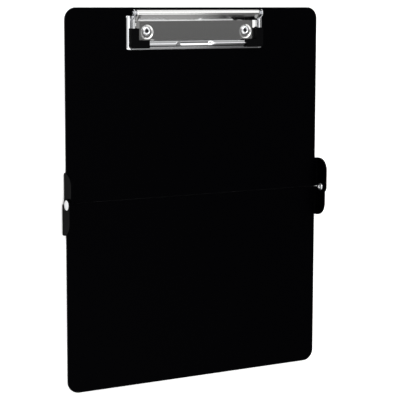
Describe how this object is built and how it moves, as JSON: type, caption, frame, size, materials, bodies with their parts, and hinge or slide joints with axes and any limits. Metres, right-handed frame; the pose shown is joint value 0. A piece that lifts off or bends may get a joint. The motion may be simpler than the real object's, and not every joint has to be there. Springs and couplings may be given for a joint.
{
  "type": "folding clipboard",
  "caption": "Folding clipboard: two coated sheet panels hinged on riveted side ears, with a low-profile spring clip and soft corner grips at the top edge.",
  "frame": {"origin": "centre of the board at the seam, on the surface that the board lies on", "axes": "+X to the user's right, +Y up the board toward the clip, +Z out of the writing face"},
  "size_m": [0.2476, 0.3048, 0.0148],
  "materials": {
    "panel_coat": "black semi-gloss coat over the aluminium sheet",
    "rivet": "bright plated",
    "clip_chrome": "polished nickel-chrome",
    "clip_satin": "satin plated",
    "rod_steel": "plain spring steel",
    "grip": "black moulded vinyl, dull"
  },
  "bodies": {
    "upper_board": {"upper_panel": "panel_coat", "left_hinge_rivet": "rivet", "right_hinge_rivet": "rivet", "clip_base_plate": "clip_chrome", "clip_pivot_plate": "clip_satin", "torsion_rod": "rod_steel", "left_clip_rivet": "rivet", "right_clip_rivet": "rivet"},
    "lower_board": {"lower_panel": "panel_coat"},
    "jaw": {"clip_jaw": "clip_chrome", "left_corner_grip": "grip", "right_corner_grip": "grip"}
  },
  "joints": [
    {"name": "fold", "type": "hinge", "parent": "upper_board", "child": "lower_board", "pos_m": [0, 0, 0.0097], "axis": [-1, 0, 0], "range_deg": [0, 180]},
    {"name": "clip_open", "type": "hinge", "parent": "upper_board", "child": "jaw", "pos_m": [0, 0.148, 0.0071], "axis": [-1, 0, 0], "range_deg": [0, 18], "stiffness_Nm_per_rad": 0.1, "springref_deg": -45.84}
  ]
}
